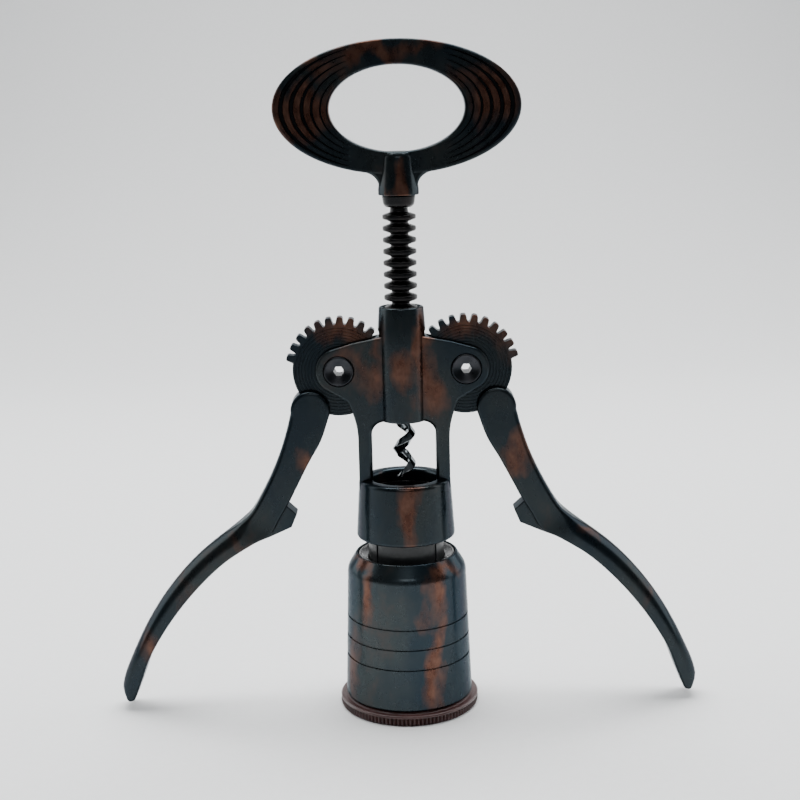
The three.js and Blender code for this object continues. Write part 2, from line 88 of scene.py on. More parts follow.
# ---- sizes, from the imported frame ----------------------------

def box_mm(node):
    low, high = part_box(node)
    return [v / MM for v in low], [v / MM for v in high]


def top_of(node):
    return box_mm(node)[1][2]


def bottom_of(node):
    return box_mm(node)[0][2]


def radius_of(node):
    return max(box_mm(node)[1][:2])


hinge = next(joint for joint in frame["joints"] if joint["name"] == "right_lever_hinge")

GAP = 0.3
PIVOT_X = hinge["pos_m"][0] / MM
PIVOT_Z = hinge["pos_m"][2] / MM
NECK_TOP = top_of("frame")
COLLAR_BOTTOM = bottom_of("frame")
COLLAR_RADIUS = box_mm("frame")[1][1]
COLLAR_TOP = COLLAR_BOTTOM + 25.3
COLLAR_TOP_RADIUS = COLLAR_RADIUS - 1.6
BORE_RADIUS = 14.0
WINDOW_TOP = COLLAR_TOP + 24.8
WING_HALF = 5.6
RACK_RADIUS = radius_of("rack_sleeve")
RACK_BORE = RACK_RADIUS + GAP
TUBE_RADIUS = radius_of("bottle_tube")
BELL_TOP = top_of("bell")
BELL_BOTTOM = bottom_of("bell")
BELL_RADIUS = radius_of("bell")
BASE_RADIUS = radius_of("bell_base_ring")
BUSH_RADIUS = radius_of("bell_guide_bush")
HANDLE_TOP = top_of("handle")
BOSS_BOTTOM = bottom_of("handle")
BOSS_RADIUS = box_mm("handle")[1][1]
SPINDLE_RADIUS = 2.2
SOCKET_TOP = top_of("worm_socket")
SOCKET_BOTTOM = bottom_of("worm_socket")
SOCKET_RADIUS = radius_of("worm_socket")
COLLAR_BORE = TUBE_RADIUS + GAP
LEDGE = top_of("bottle_seat_ring") + GAP
NECK_RADIUS = RACK_BORE + 2.9
NECK_TAPER = NECK_TOP - 12.0
SLOT_HALF = 2.95
SLEEVE_HOLE = 5.1
SLEEVE_END = 4.4
KEY_RADIUS = 2.25


# ---- mesh tools ----------------------------------------------

def new_object(name, vertices, faces, angle=32.0):
    """Makes a closed smooth-shaded mesh object from millimetre points."""
    mesh = bpy.data.meshes.new(name)
    mesh.from_pydata([(x * MM, y * MM, z * MM) for x, y, z in vertices], [], faces)
    work = bmesh.new()
    work.from_mesh(mesh)
    bmesh.ops.remove_doubles(work, verts=work.verts, dist=1e-7)
    bmesh.ops.recalc_face_normals(work, faces=work.faces)
    work.to_mesh(mesh)
    work.free()
    obj = bpy.data.objects.new(name, mesh)
    bpy.context.scene.collection.objects.link(obj)
    shade(obj, angle)
    return obj


def shade(obj, angle=32.0):
    mesh = obj.data
    mesh.polygons.foreach_set("use_smooth", [True] * len(mesh.polygons))
    mesh.set_sharp_from_angle(angle=math.radians(angle))
    mesh.update()


def rounded(points, closed=True, steps=5):
    """Turns (a, b, fillet) corners into a fine path; a fillet of 0 stays sharp."""
    count = len(points)
    path = []
    for i, (a, b, fillet) in enumerate(points):
        here = Vector((a, b))
        if fillet <= 0 or (not closed and i in (0, count - 1)):
            path.append((a, b))
            continue
        before = Vector(points[i - 1][:2]) - here
        after = Vector(points[(i + 1) % count][:2]) - here
        reach = min(fillet, 0.48 * before.length, 0.48 * after.length)
        start = here + before.normalized() * reach
        end = here + after.normalized() * reach
        for k in range(steps + 1):
            t = k / steps
            spot = start * (1 - t) ** 2 + here * 2 * t * (1 - t) + end * t * t
            path.append((spot.x, spot.y))
    return path


def lathe(name, profile, segments=128, axis="Z", centre=(0.0, 0.0, 0.0), angle=32.0, wave=None):
    """Turns a closed (radius, height) profile about Z, or about Y with height towards +Y."""
    vertices = []
    faces = []
    count = len(profile)
    for s in range(segments):
        turn = 2 * math.pi * s / segments
        for radius, height in profile:
            r = radius if wave is None else wave(radius, height, turn)
            if axis == "Z":
                point = (r * math.cos(turn), r * math.sin(turn), height)
            else:
                point = (r * math.cos(turn), height, r * math.sin(turn))
            vertices.append(tuple(p + c for p, c in zip(point, centre)))
    for s in range(segments):
        n = (s + 1) % segments
        for i in range(count):
            j = (i + 1) % count
            if profile[i][0] < 1e-9 and profile[j][0] < 1e-9:
                continue
            corners = [s * count + i, s * count + j, n * count + j, n * count + i]
            if profile[i][0] < 1e-9:
                corners = corners[:3]
            elif profile[j][0] < 1e-9:
                corners = [corners[0], corners[1], corners[3]]
            faces.append(corners)
    return new_object(name, vertices, faces, angle)


def outward_normals(outline):
    count = len(outline)
    normals = []
    for i in range(count):
        ax, az = outline[i - 1]
        bx, bz = outline[i]
        cx, cz = outline[(i + 1) % count]
        first = Vector((bz - az, ax - bx)).normalized()
        second = Vector((cz - bz, bx - cx)).normalized()
        middle = first + second
        middle /= max(0.35, middle.length_squared / 2)
        normals.append(middle)
    return normals


def ring_faces(rings, count, closed=False):
    """Quads between neighbouring rings of count points; an open row of rings gets two caps."""
    faces = []
    for s in range(rings if closed else rings - 1):
        n = (s + 1) % rings
        for i in range(count):
            j = (i + 1) % count
            faces.append((s * count + i, s * count + j, n * count + j, n * count + i))
    if not closed:
        last = (rings - 1) * count
        faces.append(tuple(range(count)))
        faces.append(tuple(last + i for i in reversed(range(count))))
    return faces


def prism(name, outline, rail, angle=32.0):
    """Extrudes an anticlockwise XZ outline along Y; each rail step is (y, outward offset)."""
    normals = outward_normals(outline)
    vertices = []
    for y, offset in rail:
        for (x, z), normal in zip(outline, normals):
            vertices.append((x + normal.x * offset, y, z + normal.y * offset))
    return new_object(name, vertices, ring_faces(len(rail), len(outline)), angle)


def round_rail(half, radius, steps=5):
    """A rail with quarter-round edges at y = -half and y = half."""
    quarter = []
    for k in range(steps + 1):
        turn = math.pi / 2 * k / steps
        quarter.append((-half + radius * (1 - math.cos(turn)), -radius * (1 - math.sin(turn))))
    return quarter + [(-y, offset) for y, offset in reversed(quarter)]


def flared_rail(half, flare, reach=3.0, steps=4):
    """A cutter's rail that widens at both faces, so the cut's edges come out rounded."""
    side = [(-half - reach, flare + 0.01)]
    for k in range(steps + 1):
        turn = math.pi / 2 * k / steps
        side.append((-half + flare * math.sin(turn), flare * (1 - math.sin(turn)) ** 1.5))
    return side + [(-y, offset) for y, offset in reversed(side)]


def arc(cx, cz, radius, start, end, steps):
    """Points on an arc, in degrees, both ends included."""
    angles = [math.radians(start + (end - start) * k / steps) for k in range(steps + 1)]
    return [(cx + radius * math.cos(a), cz + radius * math.sin(a)) for a in angles]


def bezier(p0, p1, p2, steps):
    """A curve from p0 to p2 that is drawn towards p1."""
    points = []
    for k in range(steps + 1):
        t = k / steps
        points.append(tuple((1 - t) ** 2 * a + 2 * t * (1 - t) * b + t * t * c
                            for a, b, c in zip(p0, p1, p2)))
    return points


def spline(points, per_span):
    """Catmull-Rom curve through points."""
    ends = [tuple(2 * a - b for a, b in zip(points[0], points[1]))]
    tail = [tuple(2 * a - b for a, b in zip(points[-1], points[-2]))]
    knots = ends + list(points) + tail
    path = []
    for i in range(1, len(knots) - 2):
        for k in range(per_span):
            t = k / per_span
            path.append(tuple(
                0.5 * (2 * b + (c - a) * t + (2 * a - 5 * b + 4 * c - d) * t * t
                       + (3 * b - a - 3 * c + d) * t ** 3)
                for a, b, c, d in zip(*knots[i - 1:i + 3])))
    path.append(points[-1])
    return path


def combine(target, tools, operation, angle=32.0):
    """Applies exact booleans of every tool to the target and deletes the tools."""
    for tool in tools:
        modifier = target.modifiers.new("cut", "BOOLEAN")
        modifier.operation = operation
        modifier.solver = "EXACT"
        modifier.object = tool
        depsgraph = bpy.context.evaluated_depsgraph_get()
        mesh = bpy.data.meshes.new_from_object(target.evaluated_get(depsgraph))
        target.modifiers.clear()
        target.data = mesh
        bpy.data.objects.remove(tool)
    work = bmesh.new()
    work.from_mesh(target.data)
    bmesh.ops.remove_doubles(work, verts=work.verts, dist=2e-7)
    work.to_mesh(target.data)
    work.free()
    shade(target, angle)
    return target


def mirrored(outline):
    """Adds the mirror image across Z to a right-hand outline, anticlockwise."""
    return outline + [(-x, z) for x, z in reversed(outline) if x > 1e-6]


def place(piece, body, material, slot, *nodes):
    """Rides a piece on its body, gives it a material and lets it stand for its CAD nodes.

    The two coiled pieces, in bright steel, keep their plain normals.
    """
    if slot != "bright_steel":
        even = piece.modifiers.new("even_shading", "WEIGHTED_NORMAL")
        even.keep_sharp = True
    piece.data.materials.clear()
    piece.data.materials.append(material)
    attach(piece, body)
    if nodes:
        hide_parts(*nodes)


# ---- materials -----------------------------------------------

def new_material(name):
    material = bpy.data.materials.new(name)
    material.use_nodes = True
    nodes = material.node_tree.nodes
    return material, nodes, material.node_tree.links, nodes["Principled BSDF"]


def noise_node(nodes, links, coords, scale, detail=3.0, rough=0.5,
               stretch=(1, 1, 1), shift=(0, 0, 0), output="Fac"):
    mapping = nodes.new("ShaderNodeMapping")
    mapping.inputs["Scale"].default_value = stretch
    mapping.inputs["Location"].default_value = shift
    links.new(coords, mapping.inputs["Vector"])
    noise = nodes.new("ShaderNodeTexNoise")
    noise.inputs["Scale"].default_value = scale
    noise.inputs["Detail"].default_value = detail
    noise.inputs["Roughness"].default_value = rough
    links.new(mapping.outputs["Vector"], noise.inputs["Vector"])
    return noise.outputs[output]


def ramp_node(nodes, links, value, stops):
    ramp = nodes.new("ShaderNodeValToRGB")
    elements = ramp.color_ramp.elements
    while len(elements) < len(stops):
        elements.new(0.5)
    for element, (position, color) in zip(elements, stops):
        element.position = position
        element.color = (*color, 1) if len(color) == 3 else color
    links.new(value, ramp.inputs["Fac"])
    return ramp.outputs["Color"]


def math_node(nodes, links, operation, first, second, clamp=False):
    node = nodes.new("ShaderNodeMath")
    node.operation = operation
    node.use_clamp = clamp
    for socket, value in zip(node.inputs, (first, second)):
        if isinstance(value, (int, float)):
            socket.default_value = value
        else:
            links.new(value, socket)
    return node.outputs[0]


def mix_node(nodes, links, factor, first, second):
    mix = nodes.new("ShaderNodeMix")
    mix.data_type = "RGBA"
    for name, value in (("Factor", factor), ("A", first), ("B", second)):
        socket = next(s for s in mix.inputs if s.name == name and s.enabled)
        if isinstance(value, tuple):
            socket.default_value = (*value, 1)
        elif isinstance(value, float):
            socket.default_value = value
        else:
            links.new(value, socket)
    return next(s for s in mix.outputs if s.enabled)


def warped(nodes, links, coords, scale, reach):
    """Coordinates pushed about by a noise, for patches with ragged outlines."""
    noise = noise_node(nodes, links, coords, scale, 4, stretch=(1, 1, 0.5), output="Color")
    centred = nodes.new("ShaderNodeVectorMath")
    centred.operation = "SUBTRACT"
    centred.inputs[1].default_value = (0.5, 0.5, 0.5)
    links.new(noise, centred.inputs[0])
    push = nodes.new("ShaderNodeVectorMath")
    push.operation = "MULTIPLY_ADD"
    push.inputs[1].default_value = (reach, reach, reach * 1.6)
    links.new(centred.outputs[0], push.inputs[0])
    links.new(coords, push.inputs[2])
    return push.outputs[0]


def spot_mask(nodes, links, coords, centre, radii):
    """1 in the middle of a soft ellipsoid in millimetres, 0 outside it."""
    mapping = nodes.new("ShaderNodeMapping")
    mapping.vector_type = "TEXTURE"
    mapping.inputs["Location"].default_value = [c * MM for c in centre]
    mapping.inputs["Scale"].default_value = [r * MM for r in radii]
    links.new(coords, mapping.inputs["Vector"])
    gradient = nodes.new("ShaderNodeTexGradient")
    gradient.gradient_type = "SPHERICAL"
    links.new(mapping.outputs["Vector"], gradient.inputs["Vector"])
    return gradient.outputs["Fac"]


def add_bump(nodes, links, shader, height, strength, distance):
    bump = nodes.new("ShaderNodeBump")
    bump.inputs["Strength"].default_value = strength
    bump.inputs["Distance"].default_value = distance
    links.new(height, bump.inputs["Height"])
    links.new(bump.outputs["Normal"], shader.inputs["Normal"])


DARK_PATINA = (0.034, 0.042, 0.044)
BLUE_PATINA = (0.016, 0.027, 0.036)
COPPER = (0.128, 0.062, 0.043)
DEEP_COPPER = (0.070, 0.026, 0.016)


def patina(name, spots, background=0.42, seed=0.0, depth=1.0):
    """Dark casting metal: blue-black with copper-brown patches at the spots.

    A spot is (centre, radii, strength), in millimetres.
    """
    material, nodes, links, shader = new_material(name)
    coords = nodes.new("ShaderNodeTexCoord").outputs["Object"]
    shift = (seed, seed * 1.7, seed * 0.6)
    broad = noise_node(nodes, links, coords, 38, 3, 0.55, (1, 1, 0.55), shift)
    fine = noise_node(nodes, links, coords, 210, 5, 0.62, (1, 1, 0.7), shift)
    grain = noise_node(nodes, links, coords, 1500, 3, 0.6)
    total = math_node(nodes, links, "MULTIPLY", broad, background)
    ragged = warped(nodes, links, coords, 75, 0.022)
    for centre, radii, strength in spots:
        mask = spot_mask(nodes, links, ragged, centre, [r * 1.1 for r in radii])
        part = math_node(nodes, links, "MULTIPLY", mask, strength * 1.25)
        total = math_node(nodes, links, "ADD", total, part)
    wobble = math_node(nodes, links, "MULTIPLY", fine, 0.30)
    total = math_node(nodes, links, "ADD", total, wobble)
    tones = [tuple(c * depth for c in tone) for tone in (BLUE_PATINA, DARK_PATINA)]
    base = ramp_node(nodes, links, broad, [(0.36, tones[0]), (0.6, tones[1])])
    warmth = [tuple(c * (0.4 + 0.6 * depth) for c in tone) for tone in (DEEP_COPPER, COPPER)]
    warm = ramp_node(nodes, links, fine, [(0.35, warmth[0]), (0.62, warmth[1])])
    amount = ramp_node(nodes, links, total, [(0.38, (0, 0, 0)), (0.98, (1, 1, 1))])
    links.new(mix_node(nodes, links, amount, base, warm), shader.inputs["Base Color"])
    rough = ramp_node(nodes, links, fine, [(0.3, (0.24,) * 3), (0.7, (0.34,) * 3)])
    links.new(rough, shader.inputs["Roughness"])
    shader.inputs["Metallic"].default_value = 0.9
    shader.inputs["Specular Tint"].default_value = (0.32, 0.37, 0.4, 1)
    shader.inputs["Coat Weight"].default_value = 0.16
    shader.inputs["Coat Roughness"].default_value = 0.12
    add_bump(nodes, links, shader, grain, 0.05, 0.0002)
    return material


def mottled(name, low, high, roughness, streaks=(1, 1, 1), metallic=1.0, coat=0.0, bump_by=0.08):
    """Turned metal or moulded plastic: two close colours in clouds, with a fine grain."""
    material, nodes, links, shader = new_material(name)
    coords = nodes.new("ShaderNodeTexCoord").outputs["Object"]
    grain = noise_node(nodes, links, coords, 900, 4, 0.6, streaks)
    cloud = noise_node(nodes, links, coords, 120, 3, 0.5)
    links.new(ramp_node(nodes, links, cloud, [(0.3, low), (0.7, high)]), shader.inputs["Base Color"])
    stops = [(0.3, (roughness * 0.8,) * 3), (0.7, (roughness * 1.25,) * 3)]
    links.new(ramp_node(nodes, links, grain, stops), shader.inputs["Roughness"])
    shader.inputs["Metallic"].default_value = metallic
    shader.inputs["Coat Weight"].default_value = coat
    add_bump(nodes, links, shader, grain, bump_by, 0.0001)
    return material


# ---- bell, base ring, bush and tube --------------------------

def make_bell():
    rim = BELL_RADIUS - 5.75
    narrowing = 2.0
    shoulder = BELL_TOP - 6.1
    bore = BUSH_RADIUS + GAP
    seat = BELL_TOP - 6.9
    lip = bore - 1.3
    chamber = BELL_RADIUS - 4.0
    groove_depth = 0.55
    outer = [(BELL_RADIUS, BELL_BOTTOM, 0.9)]
    for height in (23.6, 32.3, 41.0):
        radius = BELL_RADIUS - narrowing * (height - BELL_BOTTOM) / (shoulder - BELL_BOTTOM)
        floor = radius - groove_depth
        outer += [(radius, height - 0.45, 0.1), (floor, height - 0.3, 0.1),
                  (floor, height + 0.3, 0.1), (radius, height + 0.45, 0.1)]
    outer += [(BELL_RADIUS - narrowing, shoulder, 1.8), (rim, BELL_TOP, 0.9)]
    inner = [(bore, BELL_TOP, 0.25), (bore, seat, 0), (lip, seat, 0), (lip, seat - 2.2, 0),
             (chamber, seat - 3.7, 0), (chamber, BELL_BOTTOM, 0.3)]
    return lathe("bell_skin", rounded(outer + inner, steps=6), 192)


def make_base_ring():
    flange = 4.5
    foot = BASE_RADIUS - 0.9
    ribs = 108
    rib_depth = 1.1

    def ribbed(radius, height, turn):
        if radius < foot or not 0.1 < height < flange - 1.35:
            return radius
        return radius - rib_depth * abs(math.sin(ribs * turn / 2)) ** 3

    liner = BELL_RADIUS - 4.3
    throat = liner - 2.6
    top = top_of("bell_base_ring")
    profile = [
        (throat + 2, 0, 0.4), (foot, 0, 0), (BASE_RADIUS - 0.35, 0.45, 0),
        (BASE_RADIUS - 0.05, 1.0, 0), (BASE_RADIUS - 0.05, 2.6, 0),
        (BASE_RADIUS - 0.25, 3.1, 0), (BASE_RADIUS - 0.1, 3.3, 0),
        (BASE_RADIUS, flange - 0.6, 0), (BASE_RADIUS - 0.5, flange, 0.3),
        (BELL_RADIUS + 0.2, flange, 0.1), (BELL_RADIUS - 0.8, BELL_BOTTOM - GAP, 0.1),
        (liner, BELL_BOTTOM - GAP, 0), (liner, top, 0.4), (TUBE_RADIUS + GAP, top, 0.4),
        (TUBE_RADIUS + GAP, top - 4, 1), (throat, top - 10, 2), (throat, 8, 2),
    ]
    return lathe("base_ring_ribbed", rounded(profile, steps=4), ribs * 6, wave=ribbed)


def make_bush():
    low = bottom_of("bell_guide_bush")
    high = top_of("bell_guide_bush")
    inner = TUBE_RADIUS + GAP
    profile = [
        (inner, low, 0.3), (BUSH_RADIUS, low, 0.2), (BUSH_RADIUS, high, 0.35),
        (BUSH_RADIUS - 0.9, high, 0.15), (BUSH_RADIUS - 1.1, high - 0.45, 0.15),
        (inner + 1.2, high - 1.3, 0.3), (inner, high - 1.6, 0.3),
    ]
    return lathe("guide_bush_turned", rounded(profile, steps=4), 160)


def make_tube():
    low = bottom_of("bottle_tube")
    high = top_of("bottle_tube")
    inner = TUBE_RADIUS - 1.0
    profile = [(inner, low, 0.3), (TUBE_RADIUS, low, 0.4), (TUBE_RADIUS, high, 0.2),
               (inner, high, 0.2)]
    tube = lathe("tube_fingers", rounded(profile, steps=3), 144)
    reach = TUBE_RADIUS + 5
    slot_top = COLLAR_BOTTOM + 4
    slot_half = 0.5
    outline = [(-reach, low - 1), (reach, low - 1), (reach, slot_top), (-reach, slot_top)]
    slots = []
    for degrees in (40, 140):
        slot = prism("slot", outline, [(-slot_half, 0), (slot_half, 0)])
        slot.data.transform(Matrix.Rotation(math.radians(degrees), 4, "Z"))
        slots.append(slot)
    return combine(tube, slots, "DIFFERENCE")


def make_seat_ring():
    low = bottom_of("bottle_seat_ring")
    high = top_of("bottle_seat_ring")
    inner = BORE_RADIUS + 0.4
    profile = [(inner, low, 0.6), (TUBE_RADIUS, low, 0.3), (TUBE_RADIUS, high, 0.3),
               (inner, high, 0.5)]
    return lathe("seat_ring_moulded", rounded(profile, steps=4), 128)


def make_stop_ring():
    low = bottom_of("bell_stop_ring")
    high = top_of("bell_stop_ring")
    outer = radius_of("bell_stop_ring")
    inner = TUBE_RADIUS + GAP
    profile = [(inner, low, 0.2), (outer, low, 0.4), (outer, high, 0.4), (inner, high, 0.2)]
    return lathe("stop_ring_turned", rounded(profile, steps=4), 128)


def sweep(name, path, section, taper=None):
    """Sweeps a section of (outward, upward) points along a helix-like path about Z."""
    vertices = []
    for i, (x, y, z) in enumerate(path):
        before = Vector(path[max(0, i - 1)])
        after = Vector(path[min(len(path) - 1, i + 1)])
        tangent = (after - before).normalized()
        outward = Vector((x, y, 0)).normalized()
        outward = (outward - tangent * outward.dot(tangent)).normalized()
        upward = tangent.cross(outward)
        scale = 1.0 if taper is None else taper(i / (len(path) - 1))
        for a, b in section:
            vertices.append(Vector((x, y, z)) + outward * a * scale + upward * b * scale)
    return new_object(name, [tuple(v) for v in vertices], ring_faces(len(path), len(section)), 50)


def helix(radius, low, high, pitch, start_degrees, per_turn=40):
    turns = (high - low) / pitch
    steps = round(turns * per_turn)
    path = []
    for k in range(steps + 1):
        t = k / steps
        angle = math.radians(start_degrees) + t * turns * 2 * math.pi
        path.append((radius * math.cos(angle), radius * math.sin(angle), low + t * (high - low)))
    return path


def make_spring():
    wire = 0.8
    coils = 4.5
    low = bottom_of("bell_spring") + wire
    high = top_of("bell_spring") - wire
    radius = radius_of("bell_spring") - wire
    path = helix(radius, low, high, (high - low) / coils, 0)
    turns = [a * math.pi / 6 for a in range(12)]
    return sweep("spring_coil", path, [(wire * math.cos(t), wire * math.sin(t)) for t in turns])


# ---- rack, spindle, worm -------------------------------------

GEAR_MODULE = 1.5
RING_PITCH = math.pi * GEAR_MODULE
RINGS = 17
LOWEST_RING = bottom_of("rack_sleeve") + RING_PITCH / 2 + 0.2


def make_rack():
    bore = SPINDLE_RADIUS + GAP
    root = 3.7
    root_half = 1.95
    crest_half = 0.82
    low = bottom_of("rack_sleeve")
    high = top_of("rack_sleeve")
    profile = [(bore, low, 0.2), (root, low, 0.2)]
    for index in range(RINGS):
        middle = LOWEST_RING + index * RING_PITCH
        profile += [(root, middle - root_half, 0.5), (RACK_RADIUS, middle - crest_half, 0.45),
                    (RACK_RADIUS, middle + crest_half, 0.45), (root, middle + root_half, 0.5)]
    profile += [(root, high, 0.2), (bore, high, 0.2)]
    return lathe("rack_rings", rounded(profile, steps=4), 96, angle=40)


def make_spindle():
    low = bottom_of("spindle")
    high = top_of("spindle")
    collar = BOSS_BOTTOM - 4.9
    profile = [
        (0, low, 0), (SPINDLE_RADIUS, low, 0.3), (SPINDLE_RADIUS, collar, 0),
        (RACK_RADIUS - 1.6, collar, 0.3), (RACK_RADIUS - 0.55, collar + 1.0, 0.7),
        (RACK_RADIUS, BOSS_BOTTOM - GAP - 0.2, 0.3), (RACK_RADIUS - 0.3, BOSS_BOTTOM - GAP, 0),
        (SPINDLE_RADIUS, BOSS_BOTTOM - GAP, 0), (SPINDLE_RADIUS, high, 0.3), (0, high, 0),
    ]
    return lathe("spindle_turned", rounded(profile, steps=4), 96)


def make_socket():
    bore = SPINDLE_RADIUS + GAP
    mouth = 2.9
    profile = [
        (bore, SOCKET_TOP, 0.2), (bore, SOCKET_BOTTOM + 1.6, 0), (mouth, SOCKET_BOTTOM + 1.6, 0),
        (mouth, SOCKET_BOTTOM, 0.2), (SOCKET_RADIUS - 1.2, SOCKET_BOTTOM, 0.5),
        (SOCKET_RADIUS, SOCKET_BOTTOM + 1.4, 0.8), (SOCKET_RADIUS, SOCKET_TOP, 0.5),
    ]
    return lathe("socket_turned", rounded(profile, steps=4), 96)


def make_worm():
    """A ribbon wound into a right-hand helix, growing from a point, with a stem on top."""
    tip = bottom_of("worm")
    outer = 4.9
    edge = 1.25
    pitch = 13
    per_turn = 64
    section = rounded([(edge, 0, 0.3), (-1.1, 2.5, 0.4), (-1.9, 0, 0.6), (-1.1, -2.5, 0.4)], steps=3)
    path = helix(outer - edge, tip + 0.45, SOCKET_BOTTOM + 0.2, pitch, -156, per_turn)

    def taper(t):
        turns_from_tip = t * (len(path) - 1) / per_turn
        return min(1.0, 0.06 + turns_from_tip * 2.9)

    wire = sweep("worm_polished", path, section, taper)
    neck = 2.6
    stem = lathe("stem", rounded([
        (0, SOCKET_BOTTOM - 1.2, 0), (3.5, SOCKET_BOTTOM - 1.2, 0.5),
        (3.7, SOCKET_BOTTOM - 0.3, 0.2), (neck, SOCKET_BOTTOM - 0.3, 0),
        (neck, SOCKET_BOTTOM + 1.2, 0.2), (0, SOCKET_BOTTOM + 1.2, 0),
    ]), 64)
    return combine(wire, [stem], "UNION", 45)


def make_pin(name, node, along_x):
    """A plain pin with domed ends, along X or along Y."""
    low, high = box_mm(node)
    centre = [(a + b) / 2 for a, b in zip(low, high)]
    radius = (high[2] - low[2]) / 2
    half = ((high[0] - low[0]) if along_x else (high[1] - low[1])) / 2
    profile = rounded([(0, -half, 0), (radius, -half, 0.35), (radius, half, 0.35), (0, half, 0)])
    pin = lathe(name, profile, 32, axis="Y")
    if along_x:
        pin.data.transform(Matrix.Rotation(math.pi / 2, 4, "Z"))
    pin.data.transform(Matrix.Translation([c * MM for c in centre]))
    return pin


# ---- frame and pivot fittings --------------------------------

def wing_outline():
    """The frame's front outline: the columns, the web under each wing, and the sloping top."""
    slope_degrees = 16.5
    slope = math.radians(slope_degrees)
    end = 9.5
    top_x = PIVOT_X + end * math.sin(slope)
    top_z = PIVOT_Z + end * math.cos(slope)
    apex = top_z + top_x * math.tan(slope)
    column = COLLAR_TOP_RADIUS - 0.2
    under = (PIVOT_X - 3.25, PIVOT_Z - 12.9)
    nose = arc(PIVOT_X, PIVOT_Z, end, -50, 90 - slope_degrees, 20)
    right = [(column, COLLAR_TOP - 4), (column, COLLAR_TOP + 4), (column, COLLAR_TOP + 11)]
    right += bezier((column, WINDOW_TOP - 7), (column + 0.1, PIVOT_Z - 21), under, 8)
    right += bezier(under, (PIVOT_X + 1.6, PIVOT_Z - 9.9), nose[0], 8)[1:-1]
    right += nose
    shoulder_x = PIVOT_X - 6
    right += [(shoulder_x, apex - shoulder_x * math.tan(slope)), (NECK_RADIUS - 2, NECK_TAPER)]
    return mirrored(right)


def make_frame():
    body = prism("frame_fine", wing_outline(), round_rail(WING_HALF, 0.9))
    corner = 5.5
    low = COLLAR_TOP - 5
    side = BORE_RADIUS - 0.6
    window = [(side, low), (side, COLLAR_TOP + 9)]
    window += arc(side - corner, WINDOW_TOP - corner, corner, 0, 90, 10)
    window = mirrored(window)
    combine(body, [prism("window", window, flared_rail(WING_HALF, 1.1))], "DIFFERENCE")
    neck = lathe("neck", rounded([
        (0, WINDOW_TOP - 0.06, 0), (NECK_RADIUS, WINDOW_TOP - 0.06, 0.9),
        (NECK_RADIUS, NECK_TAPER, 5), (NECK_RADIUS - 0.8, NECK_TOP, 0.9),
        (0, NECK_TOP, 0),
    ]), 112)
    collar = lathe("collar", rounded([
        (COLLAR_BORE, COLLAR_BOTTOM, 0.5), (COLLAR_RADIUS, COLLAR_BOTTOM, 1.5),
        (COLLAR_TOP_RADIUS, COLLAR_TOP, 1.8), (BORE_RADIUS, COLLAR_TOP, 1.5),
        (BORE_RADIUS, LEDGE, 0.3), (COLLAR_BORE, LEDGE, 0),
    ], steps=7), 144)
    combine(body, [neck], "UNION")
    core_radius = BORE_RADIUS + 1.4
    core = lathe("core", rounded([
        (0, COLLAR_BOTTOM - 2, 0), (core_radius, COLLAR_BOTTOM - 2, 0),
        (core_radius, COLLAR_TOP - 2.2, 0), (0, COLLAR_TOP - 2.2, 0),
    ]), 96)
    combine(body, [core], "DIFFERENCE")
    combine(body, [collar], "UNION")
    bore = lathe("bore", rounded([
        (0, WINDOW_TOP - 3, 0), (RACK_BORE + 1.2, WINDOW_TOP - 3, 0),
        (RACK_BORE + 1.2, WINDOW_TOP - 0.2, 0.5),
        (RACK_BORE, WINDOW_TOP + 0.6, 0.6), (RACK_BORE, NECK_TOP - 1.1, 1.0),
        (RACK_BORE + 1.4, NECK_TOP + 0.4, 0), (RACK_BORE + 1.4, NECK_TOP + 2, 0), (0, NECK_TOP + 2, 0),
    ]), 96)
    wheel_room = 23.2
    head_room = 6.3
    flare = 8.0
    past = 9
    slot = rounded([(0, -SLOT_HALF, 0), (wheel_room, -SLOT_HALF, 0), (wheel_room, SLOT_HALF, 0),
                    (0, SLOT_HALF, 0)])
    hole = rounded([
        (0, -past, 0), (flare, -past, 0), (flare, -7.3, 0), (head_room, -WING_HALF + 0.3, 0),
        (head_room, -SLEEVE_END, 0.2), (SLEEVE_HOLE, -SLEEVE_END, 0),
        (SLEEVE_HOLE, SLEEVE_END, 0), (head_room, SLEEVE_END, 0.2),
        (head_room, WING_HALF - 0.3, 0), (flare, 7.3, 0), (flare, past, 0), (0, past, 0),
    ])
    cutters = []
    for x in (-PIVOT_X, PIVOT_X):
        middle = (x, 0, PIVOT_Z)
        cutters.append(lathe("slot", slot, 160, "Y", middle))
        cutters.append(lathe("hole", hole, 72, "Y", middle))
    return combine(body, cutters + [bore], "DIFFERENCE", 35)


def key_bore(x, front, back):
    """A hexagonal cutter along a pivot, from front to back."""
    turns = [a * math.pi / 3 for a in range(6)]
    hexagon = [(x + KEY_RADIUS * math.cos(t), PIVOT_Z + KEY_RADIUS * math.sin(t)) for t in turns]
    return prism("bore", hexagon, [(front, 0.0), (back, 0.0)])


def dished_rim(side):
    """The rim of a dished head from its seat inwards; side is -1 at the front and 1 behind."""
    return [(6.15, side * 4.7, 0.2), (6.15, side * 5.7, 0.4), (5.7, side * 6.0, 0.5),
            (5.0, side * 5.7, 0.8)]


def make_screw(x):
    """Dished screw head at the front with a shank through the pivot and a hexagonal bore."""
    shank = 3.6
    dish = -4.4
    profile = [(0, 3.4, 0), (shank, 3.4, 0.5), (shank, -4.7, 0)] + dished_rim(-1)
    profile += [(2.6, dish - 0.1, 0.5), (2.0, dish, 0), (0, dish, 0)]
    head = lathe("screw_dished", rounded(profile), 96, "Y", (x, 0, PIVOT_Z))
    return combine(head, [key_bore(x, -7, 4)], "DIFFERENCE")


